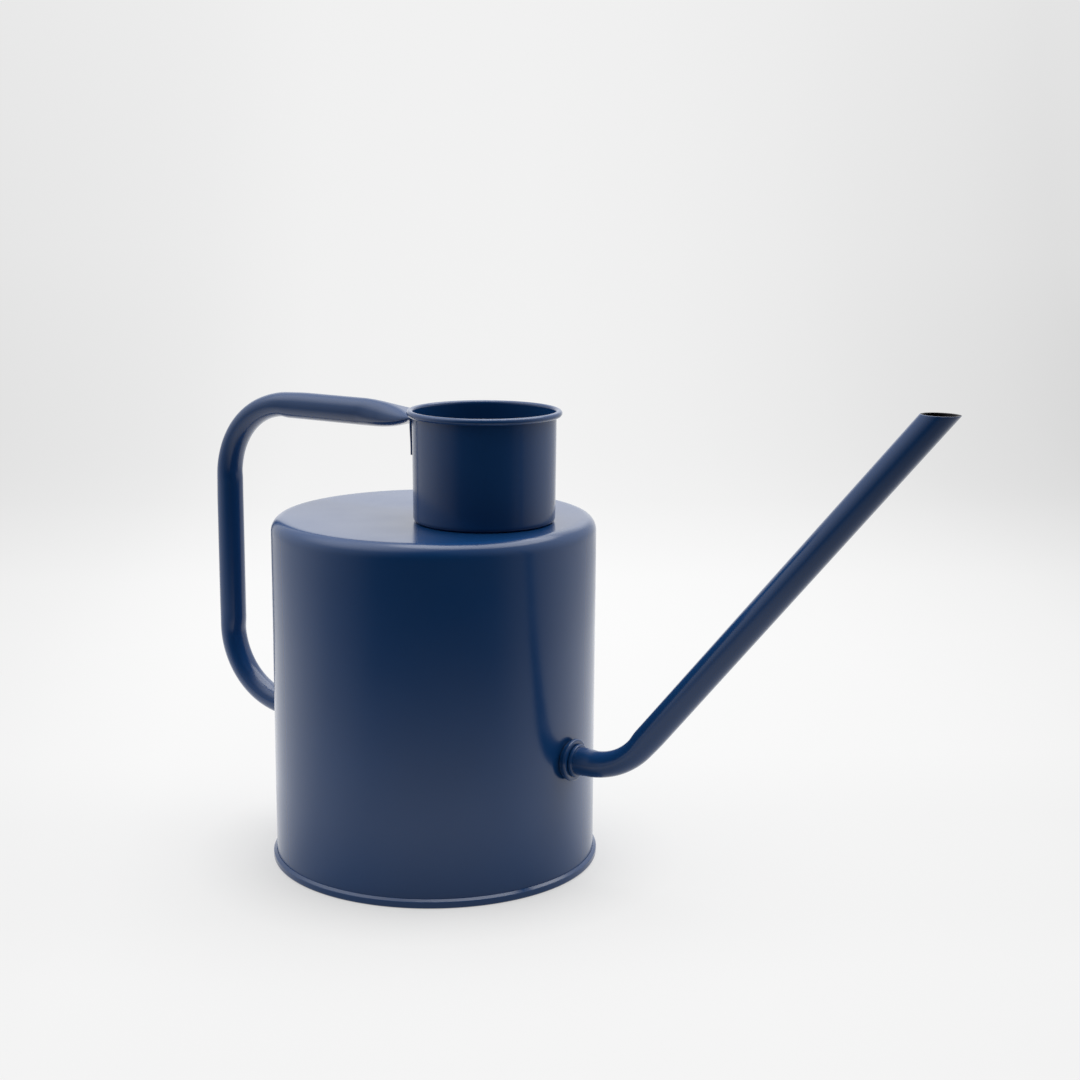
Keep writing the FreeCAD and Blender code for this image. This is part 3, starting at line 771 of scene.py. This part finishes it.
def make_flange():
    """Washer behind the spout's bead, its back hollowed to the round tank."""
    hole = TUBE_RADIUS + 0.02 * MM
    points = outline((
        (hole, WASHER_FACE - 0.2 * MM),
        (BEAD_RADIUS + 0.05 * MM, WASHER_FACE - 0.2 * MM, 0.05 * MM),
        (BEAD_RADIUS + 0.15 * MM, WASHER_FACE, 0.09 * MM),
        (WASHER_RADIUS, WASHER_FACE, 0.85 * MM),
        (WASHER_RADIUS, WASHER_FACE - WASHER_WIDTH, 0.7 * MM),
        (WASHER_FOOT, WASHER_FACE - WASHER_WIDTH, 0.08 * MM),
        (WASHER_FOOT, TANK_RADIUS),
        (hole, TANK_RADIUS),
    ))
    seat = TANK_RADIUS + SEAL_GAP
    rings = []
    for number, point in enumerate(points):
        ring = []
        for step in range(RIM_SEGMENTS):
            turn = 2 * pi * step / RIM_SEGMENTS
            y = point.x * cos(turn)
            x = point.y if number < len(points) - 2 else sqrt(seat * seat - y * y)
            ring.append(Vector((x, y, SPOUT_ROOT + point.x * sin(turn))))
        rings.append(ring)
    mesh = skin("spout_flange", rings, closed=True)
    add_piece(mesh, TUBE_COAT, "powder_coat_tube", "spout_washer")


# ---- stage, light and camera ----

CAMERA_AZIMUTH = radians(36.07)
CAMERA_DISTANCE = 0.8202
CAMERA_HEIGHT = 0.302
CAMERA_YAW = radians(3.20)
CAMERA_PITCH = radians(11.13)
CAMERA_ROLL = radians(0.342)
LENS = 64.27
SENSOR = 36.0

# directions from the can to the dark side of the room, where the camera stands, and to its right
DARK_SIDE = (sin(CAMERA_AZIMUTH), -cos(CAMERA_AZIMUTH), 0)
RIGHT_SIDE = (cos(CAMERA_AZIMUTH), sin(CAMERA_AZIMUTH), 0)

# soft lights: lean from overhead and compass turn from the bright side towards the right, both in
# degrees; the cosines of the angles where it starts and where it is full; and its strength
SOFT_LIGHTS = (
    (22, 50, 0.865, 0.9, 2.9),
    (21, -80, 0.71, 1.0, 1.36),
    (45, 100, 0.45, 1.0, 0.3),
    (58, 19, 0.925, 1.0, 0.76),
    (50, -100, 0.5, 1.0, 0.3),
    (79, 0, 0.906, 0.978, 0.16),
)

FLOOR_RADIUS = 0.75
FLOOR_ALBEDO = 0.56
SWEEP_START = 1.1
WALL_RADIUS = 1.6
WALL_HEIGHT = 3.0


def grey(level):
    """The linear value of a display level from 0 to 255."""
    return ((level / 255 + 0.055) / 1.055) ** 2.4


# the room's brightness, by how far a level direction faces the dark side
ROOM_BY_FACING = (
    (-1.0, 1.0), (-0.94, 1.0), (-0.86, 0.8), (-0.42, 0.78), (-0.26, 0.78), (0.03, 0.63),
    (0.29, 0.38), (0.45, 0.29), (0.57, 0.21), (0.66, 0.13), (0.77, 0.04), (1.0, 0.02),
)

# painted light that the camera sees on floor and backdrop: brightness by metres away from it past the can's
# axis, with a faint painted shade just in front of the can, and the shares of it kept by metres to the
# right and won back by metres up
BACKDROP_BY_DEPTH = (
    (-0.3, grey(244)), (-0.14, grey(246)), (-0.08, grey(245)), (0.04, grey(246.5)), (0.13, grey(250)),
    (0.24, grey(251)), (0.38, grey(251.8)), (0.56, grey(251.3)), (0.7, grey(248)), (0.9, grey(244)),
    (1.3, grey(242)), (1.6, grey(241)),
)
BACKDROP_BY_SIDE = (
    (-0.6, 0.8), (-0.45, 0.85), (-0.33, 0.89), (-0.26, 0.92), (-0.2, 0.96), (-0.14, 0.99), (0, 1.0),
    (0.12, 1.0), (0.2, 0.985), (0.27, 0.97), (0.35, 0.94), (0.42, 0.91), (0.5, 0.86), (0.61, 0.8),
    (0.7, 0.73),
)
BACKDROP_BY_HEIGHT = ((0.0, 0.0), (0.2, 0.35), (0.5, 0.55))

# by metres from the axis: the floor's glow on the can, how much of it the dark side keeps, and
# the share of matte floor, which takes the can's shadow, that the camera sees
FLOOR_GLOW = ((0.07, 1.1), (0.15, 1.35), (0.3, 1.42), (0.4, 1.4), (0.5, 1.25), (0.75, 0.95))
FLOOR_FILL = (
    (0.07, 0.34), (0.1, 0.42), (0.125, 0.49), (0.16, 0.57), (0.2, 0.55), (0.31, 0.3), (0.4, 0.15),
    (0.48, 0.05), (0.6, 0.0),
)
FLOOR_MATTE = ((0.075, 0.45), (0.11, 0.22), (0.2, 0.07), (0.4, 0.0))


def place_camera():
    """Stand the camera in front of the can, to the spout's side, looking slightly down."""
    away = Vector((sin(CAMERA_AZIMUTH), -cos(CAMERA_AZIMUTH), 0))
    turn = CAMERA_AZIMUTH - CAMERA_YAW
    level = Vector((-sin(turn), cos(turn), 0))
    side = Vector((cos(turn), sin(turn), 0))
    up = Vector((0, 0, 1))
    look = level * cos(CAMERA_PITCH) - up * sin(CAMERA_PITCH)
    lift = up * cos(CAMERA_PITCH) + level * sin(CAMERA_PITCH)
    right = side * cos(CAMERA_ROLL) + lift * sin(CAMERA_ROLL)
    top = lift * cos(CAMERA_ROLL) - side * sin(CAMERA_ROLL)
    data = bpy.data.cameras.new("camera")
    data.lens = LENS
    data.sensor_width = SENSOR
    data.clip_end = 50
    camera = bpy.data.objects.new("camera", data)
    bpy.context.scene.collection.objects.link(camera)
    turned = Matrix((right, top, -look)).transposed().to_4x4()
    place = away * CAMERA_DISTANCE + up * CAMERA_HEIGHT
    camera.matrix_world = Matrix.Translation(place) @ turned
    bpy.context.scene.camera = camera


def add_node(nodes, kind, operation=None):
    """Add a node, with its operation if it has one."""
    node = nodes.new(kind)
    if operation:
        node.operation = operation
    return node


def combine(nodes, links, operation, first, second):
    """Join two numbers by an operation; each is a node's output or a plain number."""
    node = add_node(nodes, "ShaderNodeMath", operation)
    for socket, value in zip(node.inputs, (first, second)):
        if isinstance(value, (int, float)):
            socket.default_value = value
        else:
            links.new(value, socket)
    return node.outputs[0]


def add_steps(nodes, links, source, stops):
    """Turn a number into another by straight steps between (number, result) stops."""
    low, high = stops[0][0], stops[-1][0]
    span = nodes.new("ShaderNodeMapRange")
    span.inputs["From Min"].default_value = low
    span.inputs["From Max"].default_value = high
    links.new(source, span.inputs["Value"])
    node = nodes.new("ShaderNodeValToRGB")
    elements = node.color_ramp.elements
    elements[1].position = 1.0
    for number, _ in stops[1:-1]:
        elements.new((number - low) / (high - low))
    for element, (_, result) in zip(elements, stops):
        element.color = (result, result, result, 1)
    links.new(span.outputs["Result"], node.inputs["Fac"])
    return node.outputs["Color"]


def add_along(nodes, links, direction, axis):
    """How far a point or direction lies along an axis."""
    dot = add_node(nodes, "ShaderNodeVectorMath", "DOT_PRODUCT")
    links.new(direction, dot.inputs[0])
    dot.inputs[1].default_value = axis
    return dot.outputs["Value"]


def add_surroundings(nodes, links, direction):
    """Brightness of the room by compass direction: dark on one side, brightest on the other."""
    level = add_node(nodes, "ShaderNodeVectorMath", "MULTIPLY")
    links.new(direction, level.inputs[0])
    level.inputs[1].default_value = (1, 1, 0)
    unit = add_node(nodes, "ShaderNodeVectorMath", "NORMALIZE")
    links.new(level.outputs[0], unit.inputs[0])
    facing = add_along(nodes, links, unit.outputs[0], DARK_SIDE)
    return add_steps(nodes, links, facing, ROOM_BY_FACING)


def add_painted_backdrop_light(nodes, links, seat):
    """Painted light on floor and backdrop as they look: brightest behind the can, falling off sideways."""
    depth = add_along(nodes, links, seat, tuple(-value for value in DARK_SIDE))
    side = add_along(nodes, links, seat, RIGHT_SIDE)
    height = add_along(nodes, links, seat, (0, 0, 1))
    back = add_steps(nodes, links, depth, BACKDROP_BY_DEPTH)
    falling = add_steps(nodes, links, side, BACKDROP_BY_SIDE)
    lifted = add_steps(nodes, links, height, BACKDROP_BY_HEIGHT)
    lost = combine(nodes, links, "SUBTRACT", 1.0, falling)
    kept = combine(nodes, links, "SUBTRACT", 1.0, lifted)
    side_share = combine(nodes, links, "SUBTRACT", 1.0, combine(nodes, links, "MULTIPLY", lost, kept))
    return combine(nodes, links, "MULTIPLY", back, side_share)


def make_floor_material():
    """Pale floor: one glow lights the can and shows in it, and the camera sees painted light and a shadow.
    """
    material = bpy.data.materials.new("pale_floor")
    material.use_nodes = True
    material.cycles.emission_sampling = "NONE"
    nodes = material.node_tree.nodes
    links = material.node_tree.links
    nodes.clear()
    seat = nodes.new("ShaderNodeTexCoord").outputs["Object"]
    length = add_node(nodes, "ShaderNodeVectorMath", "LENGTH")
    links.new(seat, length.inputs[0])
    reach = length.outputs["Value"]

    strength = add_steps(nodes, links, reach, FLOOR_GLOW)
    near = add_steps(nodes, links, reach, FLOOR_FILL)
    room = add_surroundings(nodes, links, seat)
    rest = combine(nodes, links, "SUBTRACT", 1.0, room)
    lit = combine(nodes, links, "ADD", room, combine(nodes, links, "MULTIPLY", rest, near))
    thrown = nodes.new("ShaderNodeEmission")
    links.new(combine(nodes, links, "MULTIPLY", strength, lit), thrown.inputs["Strength"])

    matte = nodes.new("ShaderNodeBsdfDiffuse")
    matte.inputs["Color"].default_value = (FLOOR_ALBEDO, FLOOR_ALBEDO, FLOOR_ALBEDO, 1)
    glow = nodes.new("ShaderNodeEmission")
    links.new(add_painted_backdrop_light(nodes, links, seat), glow.inputs["Strength"])
    share = add_steps(nodes, links, reach, FLOOR_MATTE)
    seen = nodes.new("ShaderNodeMixShader")
    links.new(share, seen.inputs["Fac"])
    links.new(glow.outputs[0], seen.inputs[1])
    links.new(matte.outputs[0], seen.inputs[2])
    finish_stage(nodes, links, thrown, seen)
    return material


def finish_stage(nodes, links, thrown, seen):
    """Show the camera one shader and everything else another."""
    path = nodes.new("ShaderNodeLightPath")
    mix = nodes.new("ShaderNodeMixShader")
    output = nodes.new("ShaderNodeOutputMaterial")
    links.new(path.outputs["Is Camera Ray"], mix.inputs["Fac"])
    links.new(thrown.outputs[0], mix.inputs[1])
    links.new(seen.outputs[0], mix.inputs[2])
    links.new(mix.outputs[0], output.inputs["Surface"])


def make_sweep_material():
    """The backdrop's soft glow, with painted light."""
    material = bpy.data.materials.new("backdrop_with_painted_light")
    material.use_nodes = True
    material.cycles.emission_sampling = "NONE"
    nodes = material.node_tree.nodes
    links = material.node_tree.links
    nodes.clear()
    seat = nodes.new("ShaderNodeTexCoord").outputs["Object"]
    glow = nodes.new("ShaderNodeEmission")
    links.new(add_painted_backdrop_light(nodes, links, seat), glow.inputs["Strength"])
    output = nodes.new("ShaderNodeOutputMaterial")
    links.new(glow.outputs[0], output.inputs["Surface"])
    return material


def make_floor():
    """A round floor that lights the can, and a curved backdrop round it that only the camera sees."""
    rings = [circle(0, radius, 0, STAGE_SEGMENTS) for radius in (0, FLOOR_RADIUS / 3, FLOOR_RADIUS)]
    floor = bpy.data.objects.new("floor", skin("floor", rings))
    floor.data.materials.append(make_floor_material())
    bend = WALL_RADIUS - SWEEP_START
    profile = [Vector((FLOOR_RADIUS, 0))]
    profile += arc_points((SWEEP_START, bend), bend, -90, 0, 24)
    profile.append(Vector((WALL_RADIUS, WALL_HEIGHT)))
    sweep = bpy.data.objects.new("sweep", lathe("sweep", profile, STAGE_SEGMENTS))
    sweep.data.materials.append(make_sweep_material())
    sweep.data.shade_smooth()
    for part in (floor, sweep):
        bpy.context.scene.collection.objects.link(part)
    sweep.visible_diffuse = False
    sweep.visible_glossy = False
    sweep.visible_transmission = False
    sweep.visible_shadow = False


def light_world():
    """A bright room with a dark side, under broad soft lights."""
    world = bpy.data.worlds.new("studio")
    bpy.context.scene.world = world
    world.use_nodes = True
    nodes = world.node_tree.nodes
    links = world.node_tree.links
    nodes.clear()
    direction = nodes.new("ShaderNodeTexCoord").outputs["Generated"]
    total = add_surroundings(nodes, links, direction)
    for lean, turn, start, full, strength in SOFT_LIGHTS:
        towards = Vector(RIGHT_SIDE) * sin(radians(turn)) - Vector(DARK_SIDE) * cos(radians(turn))
        axis = towards * sin(radians(lean)) + Vector((0, 0, cos(radians(lean))))
        shape = nodes.new("ShaderNodeMapRange")
        shape.interpolation_type = "SMOOTHSTEP"
        shape.inputs["From Min"].default_value = start
        shape.inputs["From Max"].default_value = full
        shape.inputs["To Max"].default_value = strength
        links.new(add_along(nodes, links, direction, axis), shape.inputs["Value"])
        total = combine(nodes, links, "ADD", total, shape.outputs["Result"])
    studio = nodes.new("ShaderNodeBackground")
    studio.inputs["Color"].default_value = (1, 1, 1, 1)
    links.new(total, studio.inputs["Strength"])
    output = nodes.new("ShaderNodeOutputWorld")
    links.new(studio.outputs[0], output.inputs["Surface"])


def dress_cad(node, material):
    """Give a carried-over CAD node its material."""
    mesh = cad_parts[node].data
    mesh.materials.clear()
    mesh.materials.append(material)


COAT = powder_coat("navy_powder_coat", 0.18, 0.22, 1500, 0.004 * MM)
TUBE_COAT = powder_coat("navy_powder_coat_tube", 0.18, 0.22, 1500, 0.004 * MM)
WELD_COAT = powder_coat("navy_powder_coat_weld", 0.24, 0.3, 1100, 0.02 * MM)
BORE_AND_PAINTED_SHADE = dark_bore_and_painted_shade("dark_bore_and_painted_shade")
STEEL = plain_steel("drawn_steel")
COMPOUND = sealing_compound("sealing_compound")

place_camera()
make_floor()
light_world()
make_tank()
make_base()
make_neck()
make_handle()
make_foot_weld()
make_spout()
make_flange()
dress_cad("rim_wire", COAT)
dress_cad("neck_weld", WELD_COAT)
dress_cad("handle_tab_welds", STEEL)
dress_cad("base_seam_compound", COMPOUND)
# painted shade: the rubber seal is near-black to stand for the shade behind the washer ring
dress_cad("spout_seal", BORE_AND_PAINTED_SHADE)
dress_cad("spout_backing_washer", TUBE_COAT)
bpy.context.scene.view_settings.view_transform = "Standard"
